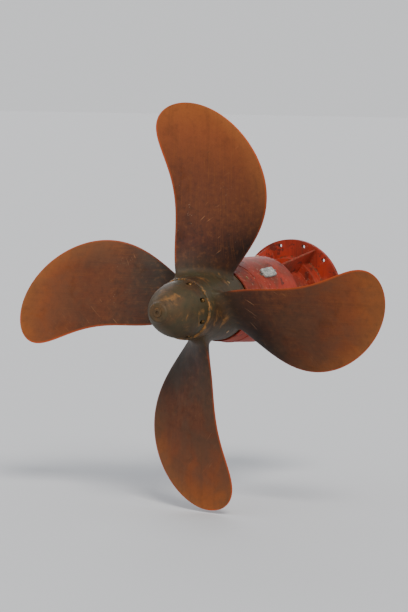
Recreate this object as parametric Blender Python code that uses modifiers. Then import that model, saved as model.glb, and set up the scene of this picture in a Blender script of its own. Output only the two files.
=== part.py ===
"""Ship propeller on its tail shaft, carried by the stern boss and stern tube.

Metres. +Z is up, +X is starboard and +Y is forward, so the propeller is at the -Y end.
The shaft axis is the Y axis. The origin is the centre of the tail shaft's coupling face,
which is level with the forward face of the mounting flange.
A place along the shaft is given as its distance aft of that face.
"""

from math import atan, cos, hypot, pi, radians, sin, sqrt

import bmesh
import bpy
from mathutils import Matrix, Vector

# Clearances
TOUCH = 0.0003  # between pieces that touch
BEARING_CLEARANCE = 0.0003  # radial, shaft in bush or seal

# Roundness
SEGMENTS = 48
HOLE_SIDES = 12

# Propeller blades
TIP_RADIUS = 3.0
BLADE_COUNT = 4
PITCH = 4.44
INNER_CHORD = 0.96  # chord at INNER_CHORD_RADIUS, before the tip rounds it off
INNER_CHORD_RADIUS = 0.6
CHORD_GROWTH = 0.444  # per metre of radius
TIP_FULLNESS = 4.8
SKEW_BOW = radians(9.7)
SKEW_INNER_RADIUS = 0.3
SKEW_OUTER_RADIUS = 2.535
AFT_RAKE = 0.01  # per metre of radius
AXIS_THICKNESS = 0.27
THICKNESS_FALL = 0.083  # per metre of radius
CAMBER_SHARE = 0.022
EDGE_THICKNESS = 0.012
ROOT_FILLET = 0.10
ROOT_DEPTH = 0.13  # blade root below the hub's surface
BLADE_ROWS = 13
SECTION_POINTS = 24

# Propeller hub
HUB_BEHIND_BOSS = 0.38
HUB_LENGTH = 1.10
HUB_FRONT_RADIUS = 0.53
HUB_BACK_RADIUS = 0.45
HUB_EDGE = 0.025
BLADE_PLANE = 0.52  # behind the hub's front face

# Hub cap and its plug
CAP_LENGTH = 0.78
CAP_END_RADIUS = 0.15
CAP_WALL = 0.035
CAP_RIM = 0.07
PLUG_RADIUS = 0.045
PLUG_HEAD_RADIUS = 0.062
PLUG_HEAD = 0.018

# Tail shaft and nut
SHAFT_RADIUS = 0.26
TAPER = 1 / 30  # radius per length
TAPER_SHORT = 0.02  # the taper ends this far inside the hub
THREAD_STEP = 0.034  # the thread's radius under the taper's small end
THREAD_PAST_NUT = 0.05
NUT_WALL = 0.13
NUT_LENGTH = 0.24
NUT_CHAMFER = 0.02
COUPLING_LIP = 0.18  # its radius beyond the shaft's
COUPLING_THICKNESS = 0.12
COUPLING_FILLET = 0.05
COUPLING_HOLES = 8
COUPLING_HOLE_RADIUS = 0.038
COUPLING_HOLE_INSET = 0.08  # hole circle's radius under the coupling's

# Mounting flange
FLANGE_LIP = 0.28  # its radius beyond the neck's
FLANGE_THICKNESS = 0.07
FLANGE_HOLES = 12
FLANGE_HOLE_RADIUS = 0.028
FLANGE_HOLE_INSET = 0.08  # hole circle's radius under the flange's
RECESS_ROOM = 0.08  # recess radius beyond the tube's radius
RECESS_DEPTH = 0.26
NECK_WALL = 0.06
NECK_END_WALL = 0.05

# Stern tube, ribs and boss
TUBE_WALL = 0.08
TUBE_SHORT = 0.005  # the tube ends this far inside the boss
RIB_COUNT = 6
RIB_THICKNESS = 0.03
RIB_FLANGE_INSET = 0.04
RIB_BOSS_INSET = 0.015
BOSS_FRONT = 1.10
BOSS_BACK = 2.30
BOSS_FRONT_WALL = 0.185
BOSS_SHOULDER = 0.045
BOSS_WIDEST_WALL = 0.225
BOSS_WIDEST = 0.45  # behind the boss's front face
BOSS_BACK_WALL = 0.17

# Bushes and seals
BUSH_WALL = 0.0794
AFT_BUSH_LENGTH = 1.0
FORWARD_BUSH_LENGTH = 0.36
BUSH_INSET = 0.01
FORWARD_SEAL_INSET = 0.02  # its radius under the tube's radius
FORWARD_SEAL_LENGTH = 0.055
LINER_WALL = 0.04
LINER_FLANGE_LIP = 0.09
LINER_FLANGE_THICKNESS = 0.035
LINER_FRONT_GAP = 0.03  # the sleeve's end stops this far behind the boss's back face
SEAL_FLANGE_LIP = 0.05
SEAL_FLANGE_THICKNESS = 0.05
SEAL_RING_WALL = 0.12
SEAL_RING_LENGTH = 0.095

# Rope guard and anodes
GUARD_WALL = 0.025
GUARD_OVER_HUB = 0.022
GUARD_HUB_GAP = 0.016
GUARD_SEAM = 0.0006
ANODE_COUNT = 4
ANODE_FRONT = 1.68
ANODE_LENGTH = 0.34
ANODE_HEIGHT = 0.045
ANODE_FACETS = 2
ANODE_EDGE = 0.01

# Worked out from the sizes above
FACET = 2 * pi / SEGMENTS
ROUND = 1 / cos(FACET / 2)  # puts the flats, not the corners, of a bore at its radius
HUB_FRONT = BOSS_BACK + HUB_BEHIND_BOSS
HUB_BACK = HUB_FRONT + HUB_LENGTH
TAPER_END_RADIUS = SHAFT_RADIUS - (HUB_LENGTH - TAPER_SHORT) * TAPER
THREAD_RADIUS = TAPER_END_RADIUS - THREAD_STEP
NUT_RADIUS = THREAD_RADIUS + NUT_WALL
COUPLING_RADIUS = SHAFT_RADIUS + COUPLING_LIP
COUPLING_HOLE_CIRCLE = COUPLING_RADIUS - COUPLING_HOLE_INSET
TUBE_BORE = SHAFT_RADIUS + BEARING_CLEARANCE + BUSH_WALL + TOUCH
TUBE_RADIUS = TUBE_BORE + TUBE_WALL
RECESS_RADIUS = TUBE_RADIUS + RECESS_ROOM
NECK_RADIUS = RECESS_RADIUS + NECK_WALL
NECK_BACK = RECESS_DEPTH + NECK_END_WALL
FLANGE_RADIUS = NECK_RADIUS + FLANGE_LIP
FLANGE_HOLE_CIRCLE = FLANGE_RADIUS - FLANGE_HOLE_INSET
BOSS_FRONT_RADIUS = TUBE_RADIUS + BOSS_FRONT_WALL
BOSS_WIDEST_RADIUS = TUBE_RADIUS + BOSS_WIDEST_WALL
BOSS_BACK_RADIUS = TUBE_RADIUS + BOSS_BACK_WALL
RIB_FLANGE_HEIGHT = FLANGE_RADIUS - RIB_FLANGE_INSET
RIB_BOSS_HEIGHT = BOSS_FRONT_RADIUS - RIB_BOSS_INSET
FORWARD_SEAL_RADIUS = TUBE_RADIUS - FORWARD_SEAL_INSET
LINER_RADIUS = SHAFT_RADIUS + LINER_WALL
LINER_FLANGE_RADIUS = LINER_RADIUS + LINER_FLANGE_LIP
SEAL_RING_RADIUS = LINER_RADIUS + SEAL_RING_WALL
SEAL_FLANGE_RADIUS = SEAL_RING_RADIUS + SEAL_FLANGE_LIP
GUARD_BACK_RADIUS = HUB_FRONT_RADIUS + GUARD_OVER_HUB
RUNNING_BORE = (SHAFT_RADIUS + BEARING_CLEARANCE) * ROUND
LINER_BORE = (LINER_RADIUS + BEARING_CLEARANCE) * ROUND


def clear_scene():
    for obj in list(bpy.data.objects):
        bpy.data.objects.remove(obj, do_unlink=True)


def new_collection(name, hidden=False):
    collection = bpy.data.collections.new(name)
    collection.hide_render = hidden
    bpy.context.scene.collection.children.link(collection)
    return collection


def new_material(name, colour, roughness, metallic):
    material = bpy.data.materials.new(name)
    material.use_nodes = True
    shader = material.node_tree.nodes["Principled BSDF"]
    shader.inputs["Base Color"].default_value = (*colour, 1)
    shader.inputs["Roughness"].default_value = roughness
    shader.inputs["Metallic"].default_value = metallic
    return material


def new_object(name, mesh, collection, material=None, location=(0, 0, 0)):
    obj = bpy.data.objects.new(name, mesh)
    obj.location = location
    collection.objects.link(obj)
    if material and not mesh.materials:
        mesh.materials.append(material)
    return obj


def as_cutter(obj):
    obj.hide_render = True
    obj.display_type = "WIRE"
    return obj


def shade(obj):
    obj.data.shade_smooth()
    obj.data.set_sharp_from_angle(angle=radians(35))


def profile_mesh(name, points, closed=True):
    """Edges through (radius, distance aft) points, in the plane through the shaft axis and +X."""
    mesh = bpy.data.meshes.new(name)
    count = len(points)
    edges = [(i, (i + 1) % count) for i in range(count if closed else count - 1)]
    mesh.from_pydata([(radius, -aft, 0) for radius, aft in points], edges, [])
    return mesh


def add_screw(obj, steps, angle):
    screw = obj.modifiers.new("turn", "SCREW")
    screw.axis = "Y"
    screw.angle = angle
    screw.steps = screw.render_steps = steps
    screw.use_merge_vertices = True
    screw.merge_threshold = 0.0001
    return screw


def turned(name, points, collection, material=None, start=0.0):
    """A solid of revolution. The points run round its section with the outer side going aft."""
    local = [(radius, aft - start) for radius, aft in points]
    on_axis = min(radius for radius, aft in points) == 0
    mesh = profile_mesh(name, local, closed=not on_axis)
    obj = new_object(name, mesh, collection, material, (0, -start, 0))
    add_screw(obj, SEGMENTS, 2 * pi)
    return obj


def ring(name, outer, inner, front, back, collection, material=None):
    points = [(outer, front), (outer, back), (inner, back), (inner, front)]
    return turned(name, points, collection, material, front)


def boolean(obj, other, operation):
    modifier = obj.modifiers.new(operation.lower(), "BOOLEAN")
    modifier.operation = operation
    modifier.object = other
    return modifier


def hole_cutter(name, count, radius, circle, front, back, offset, collection):
    """Round cutters parallel to the shaft, evenly spaced on one circle."""
    shape = bmesh.new()
    for index in range(count):
        angle = offset + index * 2 * pi / count
        place = Vector((circle * cos(angle), -(front + back) / 2, circle * sin(angle)))
        bmesh.ops.create_cone(
            shape,
            cap_ends=True,
            segments=HOLE_SIDES,
            radius1=radius,
            radius2=radius,
            depth=back - front,
            matrix=Matrix.Translation(place) @ Matrix.Rotation(pi / 2, 4, "X"),
        )
    mesh = bpy.data.meshes.new(name)
    shape.to_mesh(mesh)
    shape.free()
    return as_cutter(new_object(name, mesh, collection))


# Propeller


def chord_at(radius):
    straight = INNER_CHORD + CHORD_GROWTH * (radius - INNER_CHORD_RADIUS)
    return straight * sqrt(max(1 - (radius / TIP_RADIUS) ** TIP_FULLNESS, 0))


def skew_at(radius):
    """Angle by which the blade's middle line lags its radial line."""
    span = SKEW_OUTER_RADIUS - SKEW_INNER_RADIUS
    return -SKEW_BOW * sin(pi * (radius - SKEW_INNER_RADIUS) / span)


def thickness_at(radius):
    return AXIS_THICKNESS - THICKNESS_FALL * radius


def hub_radius_at(aft):
    share = min(max((aft - HUB_FRONT) / HUB_LENGTH, 0), 1)
    return HUB_FRONT_RADIUS + (HUB_BACK_RADIUS - HUB_FRONT_RADIUS) * share**1.5


def section_half_thickness(share):
    """Half thickness of the aerofoil, as a share of its thickness, at a share of the chord."""
    if share <= 0.5:
        return (
            0.989665 * sqrt(share) - 0.23925 * share - 0.041 * share**2 - 0.5594 * share**3
        )
    rest = 1 - share
    return 0.01 + 2.325 * rest - 3.42 * rest**2 + 1.46 * rest**3


def fillet_at(height):
    """How far the fillet stands out from the blade at a height above the hub's surface."""
    rest = 1 - min(max(height, 0) / ROOT_FILLET, 1)
    return ROOT_FILLET * (1 - sqrt(1 - (0.95 * rest) ** 2))


def section_points(radius):
    """The closed outline of the blade's section at one radius, wrapped on its cylinder."""
    chord = chord_at(radius)
    thickness = thickness_at(radius)
    skew = skew_at(radius)
    slope = atan(PITCH / (2 * pi * radius))
    points = []
    for index in range(SECTION_POINTS):
        turn = 2 * pi * index / SECTION_POINTS
        share = (1 - cos(turn)) / 2  # 0 at the leading edge, 1 at the trailing edge
        side = 1 if sin(turn) > 0 else -1
        edge = EDGE_THICKNESS / 2 * abs(sin(turn)) ** 0.5
        half = section_half_thickness(share) * (thickness - EDGE_THICKNESS) + edge
        if index in (0, SECTION_POINTS // 2):
            half = 0
        along = (0.5 - share) * chord
        across = 4 * CAMBER_SHARE * chord * share * (1 - share) + side * half
        middle_aft = HUB_FRONT + BLADE_PLANE + AFT_RAKE * radius
        middle_aft += skew * PITCH / (2 * pi)
        aft = middle_aft - along * sin(slope) - across * cos(slope)
        grow = fillet_at(radius - hub_radius_at(aft))
        along += grow * cos(turn)
        across += grow * sin(turn)
        aft = middle_aft - along * sin(slope) - across * cos(slope)
        angle = -skew + (along * cos(slope) - across * sin(slope)) / radius
        points.append((radius * sin(angle), -aft, radius * cos(angle)))
    return points


def blade_radii():
    """Radii of the lofted sections, closer together in the root fillet and at the tip."""
    low = HUB_BACK_RADIUS - ROOT_DEPTH
    radii = [low, HUB_BACK_RADIUS + 0.25 * ROOT_FILLET]
    start = HUB_FRONT_RADIUS + 0.25 * ROOT_FILLET
    for index in range(BLADE_ROWS):
        share = index / BLADE_ROWS
        radii.append(start + (TIP_RADIUS - start) * sin(pi / 2 * share) ** 1.15)
    radii.append(TIP_RADIUS - 0.0015 * TIP_RADIUS)
    return radii


def blades_mesh():
    """Four lofted blades, with their roots inside the hub, as one mesh."""
    shape = bmesh.new()
    rows = [section_points(radius) for radius in blade_radii()]
    for blade in range(BLADE_COUNT):
        turn = Matrix.Rotation(2 * pi * blade / BLADE_COUNT, 3, "Y")
        loops = [[shape.verts.new(turn @ Vector(p)) for p in row] for row in rows]
        tip = sum((v.co for v in loops[-1]), Vector()) / SECTION_POINTS
        tip *= TIP_RADIUS / hypot(tip.x, tip.z)
        tip.y = sum(v.co.y for v in loops[-1]) / SECTION_POINTS
        tip_vert = shape.verts.new(tip)
        shape.faces.new(loops[0])
        for lower, upper in zip(loops, loops[1:]):
            for i in range(SECTION_POINTS):
                j = (i + 1) % SECTION_POINTS
                shape.faces.new((lower[j], lower[i], upper[i], upper[j]))
        for i in range(SECTION_POINTS):
            shape.faces.new((loops[-1][(i + 1) % SECTION_POINTS], loops[-1][i], tip_vert))
    bmesh.ops.recalc_face_normals(shape, faces=shape.faces)
    mesh = bpy.data.meshes.new("blades")
    shape.to_mesh(mesh)
    shape.free()
    return mesh


def bore_radius_at(aft):
    return SHAFT_RADIUS - (aft - HUB_FRONT) * TAPER


def make_propeller(parts, helpers, material):
    outline = [(HUB_FRONT_RADIUS - HUB_EDGE, HUB_FRONT)]
    stations = 8
    for index in range(stations + 1):
        aft = HUB_FRONT + HUB_EDGE + (HUB_LENGTH - 2 * HUB_EDGE) * index / stations
        outline.append((hub_radius_at(aft), aft))
    outline.append((HUB_BACK_RADIUS - HUB_EDGE, HUB_BACK))
    outline.append((bore_radius_at(HUB_BACK) + TOUCH, HUB_BACK))
    outline.append((SHAFT_RADIUS + TOUCH, HUB_FRONT))
    propeller = turned("propeller", outline, parts, material, HUB_FRONT)
    blades = as_cutter(new_object("blades", blades_mesh(), helpers))
    boolean(propeller, blades, "UNION")
    return propeller


def cap_radius_at(share):
    """Outer radius of the hub cap, from its rim at 0 to its end at 1."""
    rim = HUB_BACK_RADIUS - HUB_EDGE
    return CAP_END_RADIUS + (rim - CAP_END_RADIUS) * (1 - share**2.1)


def make_hub_cap(parts, material):
    front = HUB_BACK + TOUCH
    stations = 6
    outer = []
    inner = []
    for index in range(stations + 1):
        share = index / stations
        aft = front + (CAP_LENGTH - CAP_WALL) * share
        outer.append((cap_radius_at(share), aft))
        if 0 < index < stations:
            inner.append((cap_radius_at(share) - CAP_WALL, aft))
    rim = HUB_BACK_RADIUS - HUB_EDGE
    bore = PLUG_RADIUS + TOUCH
    end = front + CAP_LENGTH
    outer.append((CAP_END_RADIUS - CAP_WALL, end))
    outer.append((bore, end))
    outer.append((bore, end - 2 * CAP_WALL))
    outer.append((CAP_END_RADIUS - CAP_WALL, end - 2 * CAP_WALL))
    inner.reverse()
    points = outer + inner + [(rim - CAP_RIM, front + CAP_RIM), (rim - CAP_RIM, front)]
    return turned("hub_cap", points, parts, material, front)


def make_cap_plug(parts, material):
    end = HUB_BACK + TOUCH + CAP_LENGTH
    points = [
        (0, end - 2 * CAP_WALL),
        (PLUG_RADIUS, end - 2 * CAP_WALL),
        (PLUG_RADIUS, end + TOUCH),
        (PLUG_HEAD_RADIUS, end + TOUCH),
        (PLUG_HEAD_RADIUS, end + PLUG_HEAD * 0.7),
        (PLUG_HEAD_RADIUS * 0.85, end + PLUG_HEAD),
        (0, end + PLUG_HEAD),
    ]
    return turned("cap_plug", points, parts, material, end)


def make_nut(parts, material):
    front = HUB_BACK + TOUCH
    back = front + NUT_LENGTH
    bore = THREAD_RADIUS + TOUCH
    points = [
        (NUT_RADIUS, front),
        (NUT_RADIUS, back - NUT_CHAMFER),
        (NUT_RADIUS - NUT_CHAMFER, back),
        (bore, back),
        (bore, front),
    ]
    return turned("propeller_nut", points, parts, material, front)


def make_tail_shaft(parts, helpers, material):
    taper_end = HUB_BACK - TAPER_SHORT
    thread_end = HUB_BACK + TOUCH + NUT_LENGTH + THREAD_PAST_NUT
    points = [(0, 0), (COUPLING_RADIUS, 0), (COUPLING_RADIUS, COUPLING_THICKNESS)]
    for index in range(4):
        turn = pi / 2 * index / 3
        radius = SHAFT_RADIUS + COUPLING_FILLET * (1 - sin(turn))
        points.append((radius, COUPLING_THICKNESS + COUPLING_FILLET * (1 - cos(turn))))
    points += [
        (SHAFT_RADIUS, HUB_FRONT),
        (TAPER_END_RADIUS, taper_end),
        (THREAD_RADIUS, taper_end),
        (THREAD_RADIUS, thread_end - NUT_CHAMFER),
        (THREAD_RADIUS - NUT_CHAMFER, thread_end),
        (0, thread_end),
    ]
    shaft = turned("tail_shaft", points, parts, material)
    holes = hole_cutter(
        "coupling_holes",
        COUPLING_HOLES,
        COUPLING_HOLE_RADIUS,
        COUPLING_HOLE_CIRCLE,
        -0.01,
        COUPLING_THICKNESS + 0.01,
        pi / COUPLING_HOLES,
        helpers,
    )
    boolean(shaft, holes, "DIFFERENCE")
    return shaft


def make_seal_liner(parts, material):
    back = HUB_FRONT - TOUCH
    bore = SHAFT_RADIUS + TOUCH
    front = BOSS_BACK + LINER_FRONT_GAP
    points = [
        (LINER_RADIUS, front),
        (LINER_RADIUS, back - LINER_FLANGE_THICKNESS),
        (LINER_FLANGE_RADIUS, back - LINER_FLANGE_THICKNESS),
        (LINER_FLANGE_RADIUS, back),
        (bore, back),
        (bore, front),
    ]
    return turned("seal_liner", points, parts, material, front)


# Stern tube, boss and seals


def make_mounting_flange(parts, helpers, material):
    tube_hole = TUBE_RADIUS + TOUCH
    points = [
        (RECESS_RADIUS, 0),
        (FLANGE_RADIUS, 0),
        (FLANGE_RADIUS, FLANGE_THICKNESS),
        (NECK_RADIUS, FLANGE_THICKNESS),
        (NECK_RADIUS, NECK_BACK),
        (tube_hole, NECK_BACK),
        (tube_hole, RECESS_DEPTH),
        (RECESS_RADIUS, RECESS_DEPTH),
    ]
    flange = turned("mounting_flange", points, parts, material)
    holes = hole_cutter(
        "flange_holes",
        FLANGE_HOLES,
        FLANGE_HOLE_RADIUS,
        FLANGE_HOLE_CIRCLE,
        -0.01,
        FLANGE_THICKNESS + 0.01,
        pi / FLANGE_HOLES,
        helpers,
    )
    boolean(flange, holes, "DIFFERENCE")
    return flange


def make_ribs(parts, material):
    """Plates on edge round the tube, from the flange's back to the boss's front."""
    foot = TUBE_RADIUS + TOUCH
    neck = NECK_RADIUS + TOUCH
    outline = [
        (neck, FLANGE_THICKNESS + TOUCH),
        (RIB_FLANGE_HEIGHT, FLANGE_THICKNESS + TOUCH),
        (RIB_BOSS_HEIGHT, BOSS_FRONT - TOUCH),
        (foot, BOSS_FRONT - TOUCH),
        (foot, NECK_BACK + TOUCH),
        (neck, NECK_BACK + TOUCH),
    ]
    shape = bmesh.new()
    half = RIB_THICKNESS / 2
    face = shape.faces.new([shape.verts.new((r, -aft, -half)) for r, aft in outline])
    grown = bmesh.ops.extrude_face_region(shape, geom=[face])
    verts = [v for v in grown["geom"] if isinstance(v, bmesh.types.BMVert)]
    bmesh.ops.translate(shape, verts=verts, vec=(0, 0, RIB_THICKNESS))
    bmesh.ops.recalc_face_normals(shape, faces=shape.faces)
    mesh = bpy.data.meshes.new("rib")
    shape.to_mesh(mesh)
    shape.free()
    ribs = []
    for index in range(RIB_COUNT):
        rib = new_object(f"rib_{index + 1}", mesh, parts, material)
        rib.rotation_euler = (0, 2 * pi * index / RIB_COUNT, 0)
        ribs.append(rib)
    return ribs


def boss_outline():
    return [
        (BOSS_FRONT_RADIUS, BOSS_FRONT),
        (BOSS_FRONT_RADIUS + 0.7 * BOSS_SHOULDER, BOSS_FRONT + BOSS_SHOULDER),
        (BOSS_WIDEST_RADIUS, BOSS_FRONT + BOSS_WIDEST),
        (BOSS_BACK_RADIUS, BOSS_BACK),
    ]


def boss_radius_at(aft):
    outline = boss_outline()
    for (radius, start), (next_radius, end) in zip(outline, outline[1:]):
        if start <= aft <= end:
            return radius + (next_radius - radius) * (aft - start) / (end - start)
    return BOSS_BACK_RADIUS


def make_stern_boss(parts, material):
    bore = TUBE_RADIUS + TOUCH
    points = boss_outline() + [(bore, BOSS_BACK), (bore, BOSS_FRONT)]
    return turned("stern_boss", points, parts, material, BOSS_FRONT)


def make_tube_and_bushes(parts, steel, white_metal):
    tube_back = BOSS_BACK - TUBE_SHORT
    ring("stern_tube", TUBE_RADIUS, TUBE_BORE, RECESS_DEPTH, tube_back, parts, steel)
    seat = TUBE_BORE - TOUCH
    back = tube_back - BUSH_INSET
    front = back - AFT_BUSH_LENGTH
    ring("aft_bush", seat, RUNNING_BORE, front, back, parts, white_metal)
    front = RECESS_DEPTH + BUSH_INSET
    back = front + FORWARD_BUSH_LENGTH
    ring("forward_bush", seat, RUNNING_BORE, front, back, parts, white_metal)


def make_seals(parts, material):
    back = RECESS_DEPTH - TOUCH
    front = back - FORWARD_SEAL_LENGTH
    ring(
        "forward_seal_housing", FORWARD_SEAL_RADIUS, RUNNING_BORE, front, back, parts, material
    )
    front = BOSS_BACK + TOUCH
    back = front + SEAL_FLANGE_THICKNESS
    ring("seal_flange_ring", SEAL_FLANGE_RADIUS, LINER_BORE, front, back, parts, material)
    for name in ("seal_middle_ring", "seal_cover_ring"):
        front = back + TOUCH
        back = front + SEAL_RING_LENGTH
        ring(name, SEAL_RING_RADIUS, LINER_BORE, front, back, parts, material)


def half_space(name, upper, collection):
    """A box that holds everything above, or below, the plane through the shaft axis."""
    size = 2 * TIP_RADIUS
    sign = 1 if upper else -1
    shape = bmesh.new()
    bmesh.ops.create_cube(shape, size=size)
    lift = Vector((0, 0, sign * (size + GUARD_SEAM) / 2))
    bmesh.ops.translate(shape, verts=shape.verts, vec=lift)
    mesh = bpy.data.meshes.new(name)
    shape.to_mesh(mesh)
    shape.free()
    return as_cutter(new_object(name, mesh, collection, location=(0, -HUB_FRONT, 0)))


def make_rope_guard(parts, helpers, material):
    """Two half shells between the boss and the hub, with a seam on each side."""
    front = BOSS_BACK + TOUCH
    back = HUB_FRONT - GUARD_HUB_GAP
    points = [
        (BOSS_BACK_RADIUS, front),
        (GUARD_BACK_RADIUS, back),
        (GUARD_BACK_RADIUS - GUARD_WALL, back),
        (BOSS_BACK_RADIUS - GUARD_WALL, front),
    ]
    for name, upper in (("rope_guard_upper", True), ("rope_guard_lower", False)):
        guard = turned(name, points, parts, material, front)
        guard.rotation_euler = (0, FACET / 2, 0)
        keep = half_space(f"{name}_side", upper, helpers)
        boolean(guard, keep, "INTERSECT")


def make_anodes(parts, material):
    """Zinc blocks seated on the boss, cast to its curve."""
    width = ANODE_FACETS * FACET
    for index in range(ANODE_COUNT):
        name = f"anode_{index + 1}"
        ends = (ANODE_FRONT, ANODE_FRONT + ANODE_LENGTH)
        line = [(boss_radius_at(aft) + TOUCH, aft - ANODE_FRONT) for aft in ends]
        mesh = profile_mesh(name, line, closed=False)
        anode = new_object(name, mesh, parts, material, (0, -ANODE_FRONT, 0))
        middle = 2 * pi * (index + 0.5) / ANODE_COUNT
        anode.rotation_euler = (0, -middle - width / 2, 0)
        add_screw(anode, ANODE_FACETS, width)
        block = anode.modifiers.new("block", "SOLIDIFY")
        block.thickness = ANODE_HEIGHT
        block.offset = 1
        edge = anode.modifiers.new("edge", "BEVEL")
        edge.width = ANODE_EDGE
        edge.segments = 1


def main():
    clear_scene()
    parts = new_collection("ship_propeller")
    helpers = new_collection("cutters", hidden=True)
    bronze = new_material("bronze", (0.30, 0.13, 0.05), 0.45, 0.85)
    steel = new_material("forged_steel", (0.45, 0.44, 0.42), 0.35, 1.0)
    seal_bronze = new_material("seal_bronze", (0.42, 0.27, 0.12), 0.4, 0.9)
    white_metal = new_material("white_metal", (0.62, 0.62, 0.60), 0.35, 0.9)
    hull_paint = new_material("red_antifouling", (0.42, 0.07, 0.03), 0.6, 0.0)
    zinc = new_material("zinc", (0.50, 0.51, 0.50), 0.6, 0.7)

    axis = bpy.data.objects.new("shaft_axis", None)
    parts.objects.link(axis)
    turning = [
        make_propeller(parts, helpers, bronze),
        make_hub_cap(parts, bronze),
        make_cap_plug(parts, bronze),
        make_nut(parts, bronze),
        make_tail_shaft(parts, helpers, steel),
        make_seal_liner(parts, steel),
    ]
    for obj in turning:
        obj.parent = axis

    make_mounting_flange(parts, helpers, hull_paint)
    make_ribs(parts, hull_paint)
    make_stern_boss(parts, hull_paint)
    make_tube_and_bushes(parts, hull_paint, white_metal)
    make_seals(parts, seal_bronze)
    make_rope_guard(parts, helpers, hull_paint)
    make_anodes(parts, zinc)
    for obj in parts.objects:
        if obj.type == "MESH":
            shade(obj)


main()
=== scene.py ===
from math import cos, pi, radians, sin, sqrt, tan
from types import SimpleNamespace as Values  # Values(**sizes).radius is sizes["radius"]

import bmesh
import bpy
from mathutils import Matrix, Vector, noise

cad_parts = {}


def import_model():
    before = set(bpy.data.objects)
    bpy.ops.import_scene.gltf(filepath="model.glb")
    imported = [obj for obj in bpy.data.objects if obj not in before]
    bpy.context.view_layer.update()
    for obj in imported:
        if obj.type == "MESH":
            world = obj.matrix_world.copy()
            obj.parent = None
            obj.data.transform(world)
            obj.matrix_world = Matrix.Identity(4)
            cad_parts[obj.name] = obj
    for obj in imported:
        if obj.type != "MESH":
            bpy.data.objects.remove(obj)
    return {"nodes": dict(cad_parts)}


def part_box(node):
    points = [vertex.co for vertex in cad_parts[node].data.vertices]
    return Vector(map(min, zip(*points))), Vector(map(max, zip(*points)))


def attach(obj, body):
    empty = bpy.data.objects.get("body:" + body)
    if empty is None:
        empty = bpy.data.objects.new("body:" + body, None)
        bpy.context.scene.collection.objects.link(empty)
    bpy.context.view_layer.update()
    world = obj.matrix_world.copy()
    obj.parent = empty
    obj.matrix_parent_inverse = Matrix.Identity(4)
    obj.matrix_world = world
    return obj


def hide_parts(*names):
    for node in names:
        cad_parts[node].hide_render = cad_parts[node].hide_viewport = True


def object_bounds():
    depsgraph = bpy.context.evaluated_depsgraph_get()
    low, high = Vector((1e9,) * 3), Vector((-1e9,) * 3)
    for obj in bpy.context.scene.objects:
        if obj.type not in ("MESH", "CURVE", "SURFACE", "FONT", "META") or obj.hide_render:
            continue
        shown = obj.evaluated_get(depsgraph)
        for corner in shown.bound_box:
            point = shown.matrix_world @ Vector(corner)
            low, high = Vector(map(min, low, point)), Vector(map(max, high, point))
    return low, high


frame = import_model()
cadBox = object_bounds()

# Metres. The shaft axis is Y and the propeller is at its -Y end, so places are distances aft, or -Y
clearance = 0.0003  # between pieces that touch
overcut = 0.01  # how far a cutter stands out of the surface
bladeStation = 0.52  # the blades' middle, aft of the hub's front face


# Radius of a round node about the shaft, then the distances aft of its front and back
def reach(node):
    low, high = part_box(node)
    return high.x, -high.y, -low.y


hubFront = reach("seal_liner")[2]
hubBack = reach("hub_cap")[1]
bladePlane = hubFront + bladeStation

# Camera, lights and floor
view = {
    "azimuth": 26.6,  # degrees round from straight aft, towards starboard
    "distance": 47.9,  # from the blades' middle
    "height": 3.89,  # over the shaft
    "roll": 0.95,
    "lens": 192.0,
    "aimForward": 0.12,  # from the blades, to centre the whole length
    "clip": (1, 2000),  # nearest and farthest
}
stage = {
    "floorRadius": 260.0,
    "floorSides": 96,
    "floorGap": 0.04,
    "floorColour": (0.511, 0.523, 0.545),
    "floorRoughness": 0.9,
    "skyColour": (0.93, 0.94, 0.96),
    "skyStrength": 0.88,
    "suns": {  # name: place it shines from, strength, degrees across, colour
        "key": ((13, -17, 19), 3.0, 18, (1.0, 0.95, 0.88)),
        "rear": ((-12, 20, 9), 0.9, 34, (0.93, 0.96, 1.0)),
    },
}


def newPiece(name, data):
    obj = bpy.data.objects.new(name, data)
    bpy.context.scene.collection.objects.link(obj)
    return obj


def endShape(shape, name):
    mesh = bpy.data.meshes.new(name)
    shape.to_mesh(mesh)
    shape.free()
    return mesh


def makeCamera():
    size = Values(**view)
    turn = radians(size.azimuth)
    flat = sqrt(size.distance**2 - size.height**2)
    middle = Vector((0, -bladePlane, 0))
    place = middle + Vector((sin(turn) * flat, -cos(turn) * flat, size.height))
    aim = middle + Vector((0, size.aimForward, 0))
    camera = newPiece("camera", bpy.data.cameras.new("camera"))
    camera.data.lens = size.lens
    camera.data.clip_start, camera.data.clip_end = size.clip
    facing = (aim - place).to_track_quat("-Z", "Y").to_matrix().to_4x4()
    roll = Matrix.Rotation(radians(size.roll), 4, "Z")
    camera.matrix_world = Matrix.Translation(place) @ facing @ roll
    bpy.context.scene.camera = camera


def makeFloor():
    size, low = Values(**stage), cadBox[0]
    shape = bmesh.new()
    bmesh.ops.create_circle(shape, cap_ends=True, segments=size.floorSides, radius=size.floorRadius)
    floor = newPiece("floor", endShape(shape, "floor"))
    floor.data.transform(Matrix.Translation((0, low.y / 2, low.z - size.floorGap)))
    paper = bpy.data.materials.new("floorPaper")
    paper.use_nodes = True
    shader = paper.node_tree.nodes["Principled BSDF"]
    shader.inputs["Base Color"].default_value = (*size.floorColour, 1)
    shader.inputs["Roughness"].default_value = size.floorRoughness
    floor.data.materials.append(paper)


def makeLights():
    world = bpy.data.worlds.new("paleSky")
    bpy.context.scene.world = world
    world.use_nodes = True
    background = world.node_tree.nodes["Background"]
    background.inputs["Color"].default_value = (*stage["skyColour"], 1)
    background.inputs["Strength"].default_value = stage["skyStrength"]
    for name, (place, strength, across, colour) in stage["suns"].items():
        light = bpy.data.lights.new(name, "SUN")
        light.energy = strength
        light.angle = radians(across)
        light.color = colour
        sun = newPiece(name, light)
        sun.matrix_world = Vector(place).to_track_quat("Z", "Y").to_matrix().to_4x4()


makeCamera()
makeFloor()
makeLights()
print("camera, floor and lights: done")


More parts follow.
